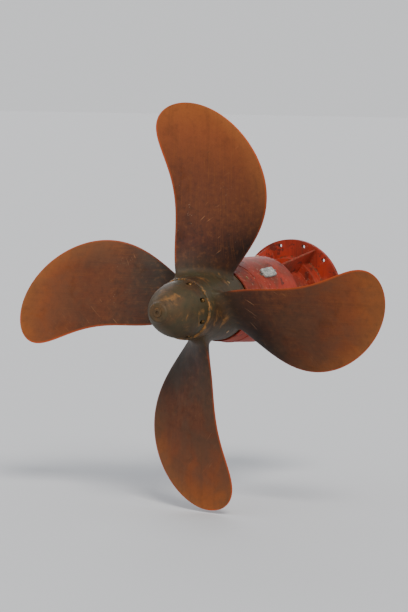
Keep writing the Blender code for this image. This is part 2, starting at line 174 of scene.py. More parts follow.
# Node trees are written as sums. These are an operator's two methods: the wire comes before the
# other value, or after it as in 1 - mask
def bothWays(operation):
    def before(self, other):
        return self.graph.math(operation, self, other)

    def after(self, other):
        return self.graph.math(operation, other, self)

    return before, after


class Wire:
    # one node socket that can be added, multiplied and so on

    def __init__(self, graph, socket):
        self.graph = graph
        self.socket = socket

    __add__, __radd__ = bothWays("ADD")
    __sub__, __rsub__ = bothWays("SUBTRACT")
    __mul__, __rmul__ = bothWays("MULTIPLY")
    __truediv__, __rtruediv__ = bothWays("DIVIDE")
    __pow__, __rpow__ = bothWays("POWER")

    def __neg__(self):
        return self * -1.0

    def do(self, operation, *others):
        return self.graph.math(operation, self, *others)

    def sin(self):
        return self.do("SINE")

    def cos(self):
        return self.do("COSINE")

    def root(self):
        return self.do("SQRT")

    def unsigned(self):
        return self.do("ABSOLUTE")

    def over(self, limit):
        return self.do("GREATER_THAN", limit)

    def clip(self):
        return self.do("MAXIMUM", 0.0).do("MINIMUM", 1.0)

    def ease(self, low, high):
        # 0 below low, 1 above high and smooth between
        settings = {"interpolation_type": "SMOOTHSTEP"}
        return self.graph.add("ShaderNodeMapRange", settings, {0: self, 1: low, 2: high})

    def noise(self, scale, detail, rough, distortion=0.0):
        names = ("Vector", "Scale", "Detail", "Roughness", "Distortion")
        sockets = dict(zip(names, (self, scale, detail, rough, distortion)))
        return self.graph.add("ShaderNodeTexNoise", {}, sockets)

    def cells(self, scale):
        return self.graph.add("ShaderNodeTexVoronoi", {}, {"Vector": self, "Scale": scale})

    def stretch(self, *sizes):
        settings = {"operation": "MULTIPLY"}
        return self.graph.add("ShaderNodeVectorMath", settings, {0: self, 1: sizes})

    def other(self, name):
        return Wire(self.graph, self.socket.node.outputs[name])


class Graph:
    # adds nodes to one tree

    def __init__(self, tree):
        self.tree = tree

    def add(self, kind, settings=None, inputs=None, output=0):
        node = self.tree.nodes.new(kind)
        count = len(self.tree.nodes)
        node.location = (190 * (count % 24), -260 * (count // 24))  # rows of 24 in the editor
        for name, value in (settings or {}).items():
            if name == "stops":
                self.setStops(node.color_ramp, value)
            else:
                setattr(node, name, value)
        for key, value in (inputs or {}).items():
            # all wires of a list go to the one socket
            for one in value if isinstance(value, list) else [value]:
                if isinstance(one, Wire):
                    self.tree.links.new(one.socket, node.inputs[key])
                else:
                    node.inputs[key].default_value = one
        return Wire(self, node.outputs[output]) if node.outputs else None

    def setStops(self, ramp, stops):
        while len(ramp.elements) < len(stops):
            ramp.elements.new(1)
        for element, (place, code) in zip(ramp.elements, stops):
            element.position = place
            element.color = paint(code)

    def math(self, operation, *values):
        return self.add("ShaderNodeMath", {"operation": operation}, dict(enumerate(values)))

    def parts(self, vector):
        split = self.add("ShaderNodeSeparateXYZ", {}, {0: vector})
        return split, split.other("Y"), split.other("Z")

    def point(self, x, y, z):
        return self.add("ShaderNodeCombineXYZ", {}, {0: x, 1: y, 2: z})

    def named(self, attribute, output="Fac"):
        return self.add("ShaderNodeAttribute", {"attribute_name": attribute}, output=output)

    def mix(self, share, low, high):
        # 6, 7 and 2 are the Mix node's colour sockets
        return self.add("ShaderNodeMix", {"data_type": "RGBA"}, {0: share, 6: low, 7: high}, 2)

    def coats(self, below, masks, look):
        # each mask is a coat over what is below it, in the look's colour and strength
        for name, mask in masks.items():
            code, strength = look[name]
            below = self.mix(mask * strength, below, paint(code))
        return below


# Linear colour from a screen colour such as b4402a
def paint(code):
    channels = [int(code[start : start + 2], 16) / 255 for start in (0, 2, 4)]
    return (*[c / 12.92 if c < 0.04045 else ((c + 0.055) / 1.055) ** 2.4 for c in channels], 1)


def startFinish(name):
    material = bpy.data.materials.new(name)
    material.use_nodes = True
    material.node_tree.nodes.clear()
    graph = Graph(material.node_tree)
    place = graph.add("ShaderNodeTexCoord", output="Object")
    return material, graph, place


# Principled shader with bump: depth is the bump's height in metres at height 1
def endFinish(graph, colour, metal, rough, height, depth, specular=0.5):
    bump = graph.add("ShaderNodeBump", {}, {"Strength": 1.0, "Distance": depth, "Height": height})
    sockets = {"Base Color": colour, "Metallic": metal, "Roughness": rough, "Normal": bump}
    shader = graph.add("ShaderNodeBsdfPrincipled", {}, {**sockets, "Specular IOR Level": specular})
    graph.add("ShaderNodeOutputMaterial", {}, {"Surface": shader})


bronzeLook = {
    # the radial colours darken towards the root: partly patina, partly painted shade of the hull and
    # water
    "radialColours": [  # share of the blade's radius, colour
        (0.10, "4b3822"),
        (0.20, "33200f"),
        (0.32, "431f11"),
        (0.48, "572d17"),
        (0.66, "5e2f17"),
        (0.84, "793d1b"),
        (1.00, "904e1e"),
    ],
    "tipRadius": 3.0,
    "specular": 0.3,
    "depth": 0.004,
    # innerFilm is painted shade: a dark coat inwards on the blade, first towards the leading edge
    "innerFilm": ("15110d", 0.78),  # from here on, a coat's colour and strength
    # painted highlight: a lighter band along the leading edge of the outer blade
    "paleEdge": ("a5662f", 0.22),
    "streaks": ("15110d", 0.11),
    "fineStreaks": ("a5662f", 0.10),
    "blotches": ("15110d", 0.26),
    "darkMottle": ("15110d", 0.40),
    "paleMottle": ("a5662f", 0.08),
    "grain": ("2b2019", 0.22),
    "slime": ("383724", 0.62),
    "bareMetal": ("a8743f", 0.5),
    "flecks": ("a99a82", 0.6),
    "scratches": ("a9744a", 0.5),
    # olive on the lower blades: partly film, partly painted shade of the hull
    "oliveFilm": ("40382a", 1.0),
    # rim: partly a polished edge, partly a painted highlight of light along the blade's edges
    "rim": ("b84c1c", 1.0),
    "wornEdges": ("a8743f", 0.6),
}


def makeBronze():
    look = Values(**bronzeLook)
    material, graph, place = startFinish("weatheredBronze")
    x, _, z = graph.parts(place)
    radius = (x * x + z * z).root()
    # acrossBlade is straight across the blade, fromLeading the share of its chord
    acrossBlade, outward, fromLeading = graph.parts(graph.named("bladeFlow", "Vector"))
    number = graph.named("bladeNumber")
    seed = number * 7.3
    onBlade = outward.ease(0.62, 0.95)
    inner = 1 - outward.ease(0.9, 2.2)
    broad = place.noise(0.8, 3, 0.5)
    spread = radius / look.tipRadius + (broad - 0.5) * 0.16
    # darker towards the root: partly patina, partly painted shade
    colour = graph.add("ShaderNodeValToRGB", {"stops": look.radialColours}, {0: spread})

    # painted shade: darker inwards, first towards the leading edge, for the hull's shade and its dark
    # reflection
    clear = (outward + fromLeading * 1.4 + (broad - 0.5) * 0.7).ease(0.95, 2.10)
    # painted highlight: lighter near the leading edge, on the outer part of the blade
    highlightBand = (1 - fromLeading.ease(0.02, 0.30)) * outward.ease(1.3, 2.2)
    streaks = graph.point(acrossBlade * 17, outward * 0.5, seed).noise(1, 3, 0.55)
    thin = graph.point(acrossBlade * 75, outward * 1.6, seed + 4).noise(1, 2, 0.5)
    blotches = place.noise(3.4, 7, 0.6, 0.3)
    mottle = place.noise(13, 4, 0.6)
    grain = place.noise(42, 3, 0.6)

    # slime, worn metal and pale flecks, on the hub and the roots
    slime = place.noise(1.9, 6, 0.62, 0.4).ease(0.40, 0.62) * (1 - radius.ease(0.46, 0.66))
    bare = place.stretch(2.2, 3.4, 2.2).noise(1, 6, 0.66, 0.5).ease(0.58, 0.70)
    flecks = (1 - place.cells(34).ease(0.10, 0.17)) * place.noise(2.4, 3, 0.6).ease(0.60, 0.68)
    flecks = flecks * (1 - radius.ease(1.2, 2.3))

    # short diagonal scratches, in a few places only
    marks = graph.point((acrossBlade - outward * 0.9) * 40, (outward + acrossBlade) * 3.2, seed)
    marks = marks.noise(1, 1, 0.4).ease(0.67, 0.73) * place.noise(1.5, 1, 0.4).ease(0.54, 0.62)
    marks = marks * onBlade * (0.3 + inner * 0.7)

    # the lower a blade hangs, the more olive it is made: partly film, partly painted shade of the
    # hull. Blade 1 stands upright and carries none
    hanging = ((number - 1) * (pi / 4)).sin().clip() * onBlade
    olivePatches = place.noise(2.1, 6, 0.62, 0.4).ease(0.38, 0.62)
    # the bright rim is partly a polished edge and partly a painted highlight along the edges
    rim = graph.named("edgeNear") * (0.20 + broad * 0.3 + outward.ease(1.0, 2.8) * 0.5)
    rim = rim.clip()
    wear = graph.named("edgeWear") * place.noise(16, 5, 0.62).ease(0.46, 0.62)
    masks = {
        "innerFilm": (1 - clear) * onBlade,
        "paleEdge": highlightBand,
        "streaks": streaks.ease(0.48, 0.75) * onBlade,
        "fineStreaks": thin.ease(0.5, 0.8) * onBlade,
        "blotches": blotches.ease(0.5, 0.78),
        "darkMottle": mottle.ease(0.50, 0.68) * (0.3 + inner * 0.7),
        "paleMottle": (1 - mottle.ease(0.34, 0.46)) * (0.5 + inner * 0.5),
        "grain": (grain - 0.5).unsigned().ease(0.07, 0.25),
        "slime": slime,
        "bareMetal": bare * (1 - radius.ease(0.5, 0.7)),
        "flecks": flecks,
        "scratches": marks,
        "oliveFilm": hanging * (0.10 + olivePatches * 0.34),
        "rim": rim,
        "wornEdges": wear,
    }
    colour = graph.coats(colour, masks, bronzeLook)
    metal = 0.16 + thin * onBlade * 0.2 + rim * 0.3 + wear * 0.4 + bare * 0.2 - flecks * 0.4
    rough = 0.60 + (blotches - 0.5) * 0.3 - rim * 0.14 - marks * 0.15 + flecks * 0.3
    pits = place.cells(60).ease(0.0, 0.35)
    height = blotches * 0.5 + pits * 0.2 + streaks * 0.3 + grain * 0.15
    height = height + flecks * 0.5 - marks * 0.25
    endFinish(graph, colour, metal.clip(), rough.clip(), height, look.depth, look.specular)
    return material


paintLook = {
    "fresh": "962d1a",
    "old": "6c2315",
    "machinedLight": "84807a",
    "machinedDark": "5d5a55",
    "specular": 0.22,
    "depth": 0.003,
    "faded": ("96442e", 0.75),  # from here on, a coat's colour and strength
    "runs": ("3c140c", 0.55),
    "rustRuns": ("5f321d", 0.7),
    "slime": ("3b3524", 0.5),
    "flakes": ("4d2018", 0.75),
    "rustSpots": ("5f321d", 0.85),
    "lime": ("a8937c", 0.5),
    "chips": ("5f321d", 0.9),
    "bareSteel": ("5b534c", 1.0),
    "rustFilm": ("5f321d", 0.75),
}


# Red antifouling paint. Faces within the machined depth of the origin's plane are bare steel
def makeHullPaint(name, machined=0.0):
    look = Values(**paintLook)
    material, graph, place = startFinish(name)
    x, y, z = graph.parts(place)
    patches = place.noise(2.6, 6, 0.62, 0.8)
    flakes = place.noise(4.6, 10, 0.64, 0.15).ease(0.585, 0.60)
    spots = 1 - place.stretch(1.0, 1.0, 0.7).cells(8.5).ease(0.04, 0.13)
    spots = spots * place.noise(3.1, 2, 0.5).ease(0.50, 0.58)
    scale = place.noise(30, 4, 0.6)
    wear = graph.named("edgeWear")
    chips = wear * place.noise(22, 5, 0.65).ease(0.42, 0.58)
    bare = wear * place.noise(26, 4, 0.6).ease(0.62, 0.7)
    masks = {
        "faded": patches.ease(0.54, 0.7),
        "runs": graph.point(x * 16, y * 16, z * 0.9).noise(1, 5, 0.6).ease(0.5, 0.78),
        "rustRuns": graph.point(x * 9, y * 9, z * 0.7).noise(1, 6, 0.65, 0.5).ease(0.6, 0.72),
        "slime": place.noise(1.5, 7, 0.64, 0.5).ease(0.52, 0.70),
        "flakes": flakes,
        "rustSpots": spots,
        "lime": scale.ease(0.60, 0.70) * place.noise(1.3, 4, 0.6).ease(0.48, 0.62),
        "chips": chips,
        "bareSteel": bare,
    }
    age = place.noise(1.1, 4, 0.55, 0.3).ease(0.38, 0.66)
    colour = graph.coats(graph.mix(age, paint(look.fresh), paint(look.old)), masks, paintLook)
    rough = 0.66 + (patches - 0.5) * 0.3 + chips * 0.2
    metal = bare * 0.7
    fine = place.noise(120, 2, 0.5)
    height = scale * 0.3 + patches * 0.5 - chips * 0.8 - flakes * 0.35 + spots * 0.5 + fine * 0.15
    if machined:
        face = 1 - (-y).ease(machined * 0.5, machined)
        radius = (x * x + z * z).root()
        rings = graph.point(radius * 420, 0.0, 0.0).noise(1, 2, 0.5)
        film = place.noise(7, 6, 0.65, 0.3)
        rusted = film.ease(0.5, 0.68)
        steel = graph.mix(rings * 0.5, paint(look.machinedLight), paint(look.machinedDark))
        steel = graph.coats(steel, {"rustFilm": rusted}, paintLook)
        colour = graph.mix(face, colour, steel)
        metal = metal * (1 - face) + face * (0.9 - rusted * 0.6)
        rough = rough.clip() * (1 - face) + face * (0.34 + film * 0.3)
        height = height * (1 - face) + rings * face * 0.12
    endFinish(graph, colour, metal.clip(), rough.clip(), height, look.depth, look.specular)
    return material


turnedLooks = {  # light, dark and stain colours, share stained, share metallic, ring scale
    "turnedSteel": ("a5a29c", "6f6c67", "6b4126", 0.45, 1.0, 300.0),
    "linerSteel": ("b9b7b1", "8c8a85", "6b5a44", 0.1, 1.0, 300.0),
    "sealBronze": ("a98453", "7a5a35", "4c5340", 0.35, 0.85, 300.0),
    "boltSteel": ("8d8a84", "5f5c57", "6b3f24", 0.6, 0.85, 90.0),
    "whiteMetal": ("b5b4ae", "8b8a84", "5d574c", 0.2, 0.9, 300.0),
}
turnedDepth = 0.0015


# Metal turned in a lathe, with fine rings round the shaft and stains
def makeTurnedMetal(name, light, dark, stain, stainShare, metalShare, ringScale):
    material, graph, place = startFinish(name)
    x, y, z = graph.parts(place)
    radius = (x * x + z * z).root()
    angle = z.do("ARCTAN2", x)
    rings = graph.point(radius * ringScale, -y * ringScale, angle * 0.2).noise(1, 3, 0.6)
    stains = place.noise(5, 6, 0.66, 0.6)
    stained = stains.ease(0.66 - stainShare * 0.3, 0.78 - stainShare * 0.3)
    drips = place.stretch(16.0, 16.0, 1.2).noise(1, 4, 0.6).ease(0.56, 0.76)
    wear = graph.named("edgeWear")
    colour = graph.mix(rings.ease(0.3, 0.7) * 0.6, paint(light), paint(dark))
    coats = {"stains": (stain, 0.8), "drips": (stain, 0.35), "wear": (light, 0.5)}
    colour = graph.coats(colour, {"stains": stained, "drips": drips, "wear": wear}, coats)
    metal = (metalShare - stained * 0.6).clip()
    rough = (0.3 + rings * 0.12 + stained * 0.35 - wear * 0.08).clip()
    height = rings * 0.12 + stains * 0.5 + place.noise(90, 3, 0.6) * 0.1
    endFinish(graph, colour, metal, rough, height, turnedDepth)
    return material


zincLook = {
    "light": "a8a8a2",
    "dark": "777a78",
    "depth": 0.006,
    "crust": ("d3d2c9", 0.85),
    "pits": ("4d4b46", 0.5),
}


def makeZinc():
    look = Values(**zincLook)
    material, graph, place = startFinish("wastedZinc")
    broad = place.noise(9, 6, 0.65, 0.6)
    crust = place.noise(30, 6, 0.7, 0.4)
    crusted = crust.ease(0.5, 0.66)
    pits = place.cells(70).ease(0.05, 0.4)
    colour = graph.mix(broad.ease(0.35, 0.7), paint(look.light), paint(look.dark))
    colour = graph.coats(colour, {"crust": crusted, "pits": 1 - pits}, zincLook)
    metal = (0.55 - crusted * 0.5).clip()
    rough = (0.55 + crust * 0.35).clip()
    endFinish(graph, colour, metal, rough, broad * 0.8 + crust * 0.6 + pits * 0.6, look.depth)
    return material


bronze = makeBronze()
hullPaint = makeHullPaint("redAntifouling")
flangePaint = makeHullPaint("redAntifoulingFlange", machined=0.003)
turnedSteel, linerSteel, sealBronze, boltSteel, whiteMetal = [
    makeTurnedMetal(name, *look) for name, look in turnedLooks.items()
]
zinc = makeZinc()
print("finishes: done")


# The evaluated mesh becomes the object's own, with no modifier left
def freeze(obj):
    graph = bpy.context.evaluated_depsgraph_get()
    final = obj.evaluated_get(graph)
    done = bpy.data.meshes.new_from_object(final, preserve_all_data_layers=True, depsgraph=graph)
    obj.modifiers.clear()
    obj.data = done


def smoothed(obj, degrees=32):
    obj.data.shade_smooth()
    obj.data.set_sharp_from_angle(angle=radians(degrees))
    return obj


# The piece's finish and body, and the CAD node that it replaces
def finishPiece(obj, body, material=None, node=None):
    if material:
        obj.data.materials.clear()
        obj.data.materials.append(material)
    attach(obj, body)
    if node:
        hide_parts(node)


# Takes out the slivers that a cut leaves
def cleaned(obj, sliver=0.00002):
    shape = bmesh.new()
    shape.from_mesh(obj.data)
    bmesh.ops.remove_doubles(shape, verts=shape.verts, dist=sliver)
    bmesh.ops.dissolve_degenerate(shape, edges=shape.edges, dist=sliver)
    shape.to_mesh(obj.data)
    shape.free()
    return obj


def cutAway(obj, cutter):
    cut = obj.modifiers.new("cut", "BOOLEAN")
    cut.operation = "DIFFERENCE"
    cut.object = cutter
    freeze(obj)
    bpy.data.objects.remove(cutter)
    return smoothed(cleaned(obj))


cornerSizes = {
    "steps": 4,  # to each rounded corner
    "wornAbove": 35,  # degrees: paint or film wears off a corner that turns more
    "spareOfCut": 0.6,  # a spare point past each end of the rounding ends the wear there,
    "spareOfSide": 0.2,  # at the smaller of a share of the cut and a share of the side
}


# (radius, aft, rounding) corners to (radius, aft, wear) points
def roundCorners(corners):
    size = Values(**cornerSizes)
    points = []
    for index, (radius, aft, rounding) in enumerate(corners):
        here = Vector((radius, aft))
        if not rounding:
            points.append((radius, aft, 0.0))
            continue
        before = Vector(corners[index - 1][:2]) - here
        after = Vector(corners[(index + 1) % len(corners)][:2]) - here
        half = before.angle(after) / 2
        cut = rounding / tan(half)
        middle = (before.normalized() + after.normalized()).normalized()
        centre = here + middle * rounding / sin(half)
        start, end = here + before.normalized() * cut, here + after.normalized() * cut
        sweep = (start - centre).angle_signed(end - centre)
        worn = float(abs(sweep) > radians(size.wornAbove))
        rounded = []
        for step in range(size.steps + 1):
            arm = start - centre
            arm.rotate(Matrix.Rotation(-sweep * step / size.steps, 2))
            rounded.append((*(centre + arm), worn))
        spares = []
        for place, side in ((start, before), (end, after)):
            spare = min(cut * size.spareOfCut, side.length * size.spareOfSide)
            spares.append((*(place + side.normalized() * spare), 0.0))
        points += [spares[0], *rounded, spares[1]]
    return points


# Turns (radius, aft, wear) points about the shaft. An open line starts and ends on the axis
def turnMesh(name, points, closed=True, segments=144, sweep=(0.0, 2 * pi)):
    shape = bmesh.new()
    wear = shape.verts.layers.float.new("edgeWear")
    whole = abs(sweep[1] - sweep[0] - 2 * pi) < 1e-6
    turns = segments if whole else segments + 1
    rings = []
    for radius, aft, worn in points:
        if radius < 1e-5:
            ring = [shape.verts.new((0, -aft, 0))] * turns
        else:
            ring = []
            for index in range(turns):
                angle = sweep[0] + (sweep[1] - sweep[0]) * index / segments
                ring.append(shape.verts.new((radius * cos(angle), -aft, radius * sin(angle))))
        for vert in ring:
            vert[wear] = worn
        rings.append(ring)
    pairs = list(zip(rings, rings[1:]))
    if closed:
        pairs.append((rings[-1], rings[0]))
    for ring, following in pairs:
        for index in range(segments):
            after = (index + 1) % turns
            corners = [ring[index], ring[after], following[after], following[index]]
            kept = [vert for place, vert in enumerate(corners) if vert not in corners[:place]]
            if len(kept) > 2:
                shape.faces.new(kept)
    if not whole:
        for end in (0, -1):
            shape.faces.new([ring[end] for ring in rings])
    bmesh.ops.recalc_face_normals(shape, faces=shape.faces)
    return endShape(shape, name)


def turnedPiece(name, corners, closed=True, **more):
    return smoothed(newPiece(name, turnMesh(name, roundCorners(corners), closed, **more)))


def ringCorners(outer, inner, front, back, edge):
    ends = ((outer, front), (outer, back), (inner, back), (inner, front))
    return [(radius, aft, edge) for radius, aft in ends]


# A node group whose named inputs are the sizes and a finish, and its wires
def startTree(name, sizes):
    sizes = {**sizes, "finish": "NodeSocketMaterial"}
    tree = bpy.data.node_groups.new(name, "GeometryNodeTree")
    tree.interface.new_socket("Geometry", in_out="OUTPUT", socket_type="NodeSocketGeometry")
    tree.interface.new_socket("Mesh", in_out="INPUT", socket_type="NodeSocketGeometry")
    kinds = {int: "NodeSocketInt", float: "NodeSocketFloat"}
    for label, value in sizes.items():
        kind = value if isinstance(value, str) else kinds[type(value)]
        socket = tree.interface.new_socket(label, in_out="INPUT", socket_type=kind)
        if not isinstance(value, str):
            socket.default_value = value
    graph = Graph(tree)
    entry = graph.add("NodeGroupInput")
    return graph, entry, Values(**{label: entry.other(label) for label in sizes})


def endTree(graph, geometry, material):
    whole = graph.add("GeometryNodeRealizeInstances", {}, {"Geometry": geometry})
    whole = graph.add("GeometryNodeSetMaterial", {}, {"Geometry": whole, "Material": material})
    graph.add("NodeGroupOutput", {}, {0: whole})
    return graph.tree


# Gives the tree's inputs their values by identifier, then keeps the mesh that it makes
def runTree(obj, tree, values):
    modifier = obj.modifiers.new(tree.name, "NODES")
    modifier.node_group = tree
    for item in tree.interface.items_tree:
        if item.in_out == "INPUT" and item.name in values:
            modifier[item.identifier] = values[item.name]
    freeze(obj)
    return obj


bladeSizes = {
    "rows": 150,  # of points from root to tip
    "columns": 81,  # of points round the section
    "blades": 4,
    "tip": 2.9985,
    "root": 0.32,
    "plane": bladePlane,
    "pitch": 4.44,
    "innerChord": 0.96,
    "innerChordRadius": 0.6,
    "chordGrowth": 0.444,
    "tipFullness": 4.8,
    "skewBow": radians(9.7),
    "skewInner": 0.3,
    "skewOuter": 2.535,
    "aftRake": 0.01,
    "axisThickness": 0.27,
    "thicknessFall": 0.083,
    "thicknessFullness": 40.0,  # the blade thins out to nothing in about the last 12 cm
    "camberShare": 0.022,
    "edgeThickness": 0.012,
    "fillet": 0.10,
    "filletReach": 0.99,  # how far the fillet goes down its quarter circle
    "filletEnds": 0.36,  # sine of the turn within which the fillet goes round an edge
    "merge": 0.0002,
    "hubFront": hubFront,
    "hubLength": hubBack - hubFront,
    "hubFrontRadius": 0.53,
    "hubBackRadius": 0.45,
    "hubCurve": 1.5,
    # the bright rim is partly a polished edge and partly a painted highlight
    "rimInner": 0.008,  # the bright rim fades out between these distances from the edge
    "rimOuter": 0.032,
    "rimRootStart": 0.62,  # and between these radii
    "rimRootEnd": 0.8,
    "rimAtTip": 1.4,  # how much narrower it is at the tip
}
bladeSection = {  # half thickness over the chord, in powers of the distance from each edge
    "nose": 0.989665,  # factor of that distance's square root
    "front": (-0.23925, -0.041, -0.5594),
    "tail": 0.01,
    "rear": (2.325, -3.42, 1.46),
}


# Half thickness of the blade's section, as a share of its greatest
def sectionShape(share, rear):
    front = bladeSection["nose"] * share.root()
    for power, factor in enumerate(bladeSection["front"], 1):
        front = front + factor * share**power
    back = bladeSection["tail"]
    for power, factor in enumerate(bladeSection["rear"], 1):
        back = back + factor * rear**power
    onRear = share.over(0.5)
    return front * (1 - onRear) + back * onRear


def store(graph, geometry, name, kind, value, domain="POINT"):
    settings = {"data_type": kind, "domain": domain}
    sockets = {0: geometry, "Name": name, "Value": value}
    return graph.add("GeometryNodeStoreNamedAttribute", settings, sockets)


# One lofted blade, repeated round the hub and joined to it
def makeBladeTree():
    graph, entry, size = startTree("bladesOnHub", bladeSizes)
    tip, pitch, fillet = size.tip, size.pitch, size.fillet
    sockets = {"Size X": 1.0, "Size Y": 1.0, "Vertices X": size.rows, "Vertices Y": size.columns}
    grid = graph.add("GeometryNodeMeshGrid", {}, sockets)
    x, y, _ = graph.parts(graph.add("GeometryNodeInputPosition"))
    row = (x + 0.5) * (size.rows - 1)
    opened = row.over(0.5)  # the first row closes the root
    step = ((row - 1) / (size.rows - 2)).clip()
    radius = size.root + (tip - size.root) * (1 - (step**1.5 * pi).cos()) / 2
    turn = (y + 0.5) * (2 * pi)
    share = (1 - turn.cos()) / 2  # 0 at the leading edge, 1 at the trailing edge
    rear = 1 - share
    side = turn.sin().do("SIGN")
    away = turn.sin().unsigned()  # 0 at both edges

    chord = size.innerChord + size.chordGrowth * (radius - size.innerChordRadius)
    chord = chord * (1 - (radius / tip) ** size.tipFullness).do("MAXIMUM", 0.0).root()
    skewShare = (radius - size.skewInner) / (size.skewOuter - size.skewInner)
    skew = -size.skewBow * (skewShare * pi).sin()
    thin = (1 - (radius / tip) ** size.thicknessFullness).do("MAXIMUM", 0.0).root()
    thickness = (size.axisThickness - size.thicknessFall * radius) * thin
    edge = size.edgeThickness
    half = sectionShape(share, rear) * (thickness - edge).do("MAXIMUM", 0.0)
    half = half + edge.do("MINIMUM", thickness) / 2 * away.root()
    half = half * away.over(0.001)  # exactly closed at both edges

    slope = (pitch / (radius * (2 * pi))).do("ARCTANGENT")
    along = (0.5 - share) * chord
    across = 4 * size.camberShare * chord * share * rear + side * half
    middleAft = size.plane + size.aftRake * radius + skew * pitch / (2 * pi)
    aft = middleAft - along * slope.sin() - across * slope.cos()
    hubShare = ((aft - size.hubFront) / size.hubLength).clip()
    hubFall = size.hubBackRadius - size.hubFrontRadius
    height = radius - size.hubFrontRadius - hubFall * hubShare**size.hubCurve
    low = (1 - (height / fillet).clip()) * size.filletReach
    grow = fillet * (1 - (1 - low * low).root())
    sideways = (away / size.filletEnds).clip()  # the fillet is round at both edges
    ends = (1 - sideways * sideways).root() * turn.cos().do("SIGN")
    along = (along + grow * ends) * opened
    across = (across + grow * sideways * side) * opened
    aft = middleAft - along * slope.sin() - across * slope.cos()
    angle = (along * slope.cos() - across * slope.sin()) / radius - skew
    place = graph.point(radius * angle.sin(), -aft, radius * angle.cos())

    fromTip = (tip - radius) * size.rimAtTip
    fromEdge = (share.do("MINIMUM", rear) * chord).do("MINIMUM", fromTip)
    rim = 1 - fromEdge.ease(size.rimInner, size.rimOuter)
    rim = rim * radius.ease(size.rimRootStart, size.rimRootEnd)
    flow = graph.point(radius * angle.sin(), radius, share)
    blade = store(graph, grid, "edgeNear", "FLOAT", rim)
    blade = store(graph, blade, "bladeFlow", "FLOAT_VECTOR", flow)
    blade = graph.add("GeometryNodeSetPosition", {}, {"Geometry": blade, "Position": place})
    sockets = {"Geometry": blade, "Distance": size.merge}
    blade = graph.add("GeometryNodeMergeByDistance", {}, sockets)
    blade = graph.add("GeometryNodeFlipFaces", {}, {0: blade})

    spots = graph.add("GeometryNodePoints", {}, {"Count": size.blades})
    number = graph.add("GeometryNodeInputIndex")
    spin = graph.point(0.0, number * (2 * pi) / size.blades, 0.0)
    sockets = {"Points": spots, "Instance": blade, "Rotation": spin}
    blades = graph.add("GeometryNodeInstanceOnPoints", {}, sockets)
    blades = store(graph, blades, "bladeNumber", "FLOAT", number + 1, "INSTANCE")
    blades = graph.add("GeometryNodeRealizeInstances", {}, {"Geometry": blades})
    sockets = {"Mesh 2": [entry, blades]}
    joined = graph.add("GeometryNodeMeshBoolean", {"operation": "UNION"}, sockets)
    joined = graph.add("GeometryNodeSetShadeSmooth", {}, {0: joined})
    return endTree(graph, joined, size.finish)


hubSizes = {"edge": 0.025, "boreFront": 0.2603, "boreBack": 0.2236, "stations": 14}


def makePropeller():
    size, blade = Values(**hubSizes), Values(**bladeSizes)
    front, back = blade.hubFrontRadius, blade.hubBackRadius
    outline = [(front, hubFront, size.edge)]
    for index in range(1, size.stations):
        share = index / size.stations
        radius = front + (back - front) * share**blade.hubCurve
        outline.append((radius, hubFront + blade.hubLength * share, 0))
    outline.append((back, hubBack, size.edge))
    outline += [(size.boreBack, hubBack, 0), (size.boreFront, hubFront, 0)]
    hub = newPiece("propellerCasting", turnMesh("hub", roundCorners(outline), segments=180))
    runTree(hub, makeBladeTree(), {**bladeSizes, "finish": bronze})
    smoothed(cleaned(hub), degrees=50)
    finishPiece(hub, "shaft_line", node="propeller")


makePropeller()
print("propeller: done")


# Copies of one object round the shaft, each with its own +X pointing outwards
def makeRingTree():
    sizes = {"item": "NodeSocketObject", "count": 8, "circle": 0.4, "aft": 0.0, "firstAngle": 0.0}
    graph, _, size = startTree("roundTheShaft", sizes)
    item = graph.add("GeometryNodeObjectInfo", {}, {"Object": size.item}, "Geometry")
    spots = graph.add("GeometryNodePoints", {}, {"Count": size.count})
    angle = size.firstAngle + graph.add("GeometryNodeInputIndex") * (2 * pi) / size.count
    place = graph.point(size.circle * angle.cos(), -size.aft, size.circle * angle.sin())
    spots = graph.add("GeometryNodeSetPosition", {}, {"Geometry": spots, "Position": place})
    sockets = {"Points": spots, "Instance": item, "Rotation": graph.point(0.0, -angle, 0.0)}
    return endTree(graph, graph.add("GeometryNodeInstanceOnPoints", {}, sockets), size.finish)


beadShape = {
    "bead": 0.009,
    "spacing": 0.008,
    "sides": 8,
    "wander": 0.0012,
    "thinnest": 0.75,  # share of the bead's radius, to which the lumps add
    "lumps": 0.5,
}


# A weld bead along the edges of the incoming mesh, uneven in thickness and line
def makeBeadTree():
    graph, entry, size = startTree("weldBead", beadShape)
    line = graph.add("GeometryNodeMeshToCurve", {}, {0: entry})
    sockets = {"Curve": line, "Length": size.spacing}
    line = graph.add("GeometryNodeResampleCurve", {"mode": "LENGTH"}, sockets)
    place = graph.add("GeometryNodeInputPosition")
    lump = place.noise(46, 2, 0.5)
    drift = [(place.noise(scale, 1, 0.5) - 0.5) * size.wander * 4 for scale in (20, 23, 26)]
    sockets = {"Geometry": line, "Offset": graph.point(*drift)}
    line = graph.add("GeometryNodeSetPosition", {}, sockets)
    sockets = {"Resolution": size.sides, "Radius": size.bead}
    profile = graph.add("GeometryNodeCurvePrimitiveCircle", {}, sockets)
    sockets = {"Curve": line, "Profile Curve": profile, "Scale": size.thinnest + lump * size.lumps}
    bead = graph.add("GeometryNodeCurveToMesh", {}, {**sockets, "Fill Caps": True})
    bead = graph.add("GeometryNodeSetShadeSmooth", {}, {0: bead})
    return endTree(graph, bead, size.finish)


ringTree = makeRingTree()
beadTree = makeBeadTree()


def ringOf(name, item, count, circle, aft, firstAngle, finish=None):
    values = {"item": item, "count": count, "circle": circle, "aft": aft, "firstAngle": firstAngle}
    if finish:
        values["finish"] = finish
    ring = runTree(newPiece(name, bpy.data.meshes.new(name)), ringTree, values)
    bpy.data.objects.remove(item)
    return ring


